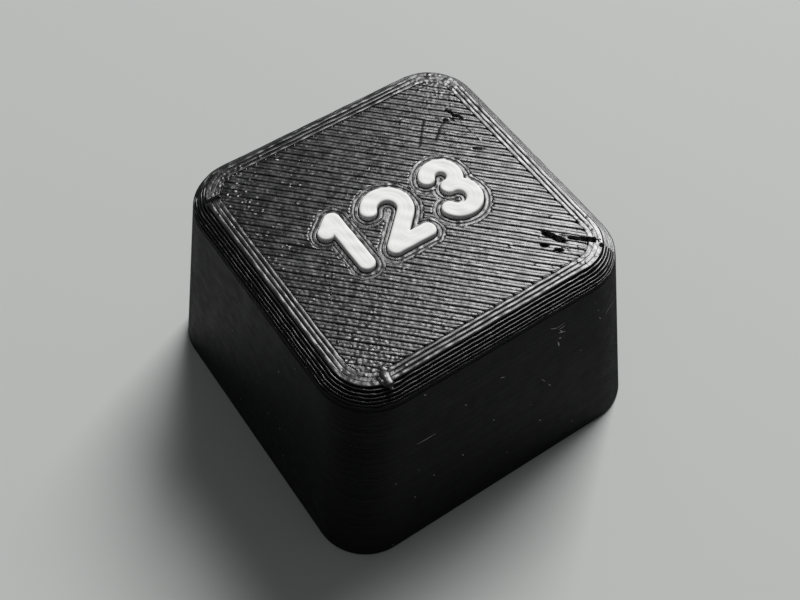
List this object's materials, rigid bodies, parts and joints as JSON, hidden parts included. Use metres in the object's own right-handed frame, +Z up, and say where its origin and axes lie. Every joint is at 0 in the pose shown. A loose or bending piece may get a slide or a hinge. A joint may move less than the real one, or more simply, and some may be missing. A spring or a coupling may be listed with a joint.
{
  "type": "keycap",
  "caption": "Tapered square keycap with rounded corners and rim, a hollow underside, a round stem with a cross socket, and a raised second-colour legend let into its flat top.",
  "frame": {"origin": "centre of the open base, on the plane that the rim of the walls stands on", "axes": "+Z up through the top along the stem, +X the way the legend reads, +Y towards the top of the legend"},
  "size_m": [0.018, 0.018, 0.0121],
  "materials": {
    "cap_plastic": "black printed plastic, satin",
    "legend_plastic": "white printed plastic, smooth"
  },
  "bodies": {
    "root": {"keycap": "cap_plastic", "legend_inlay": "legend_plastic"}
  },
  "joints": []
}
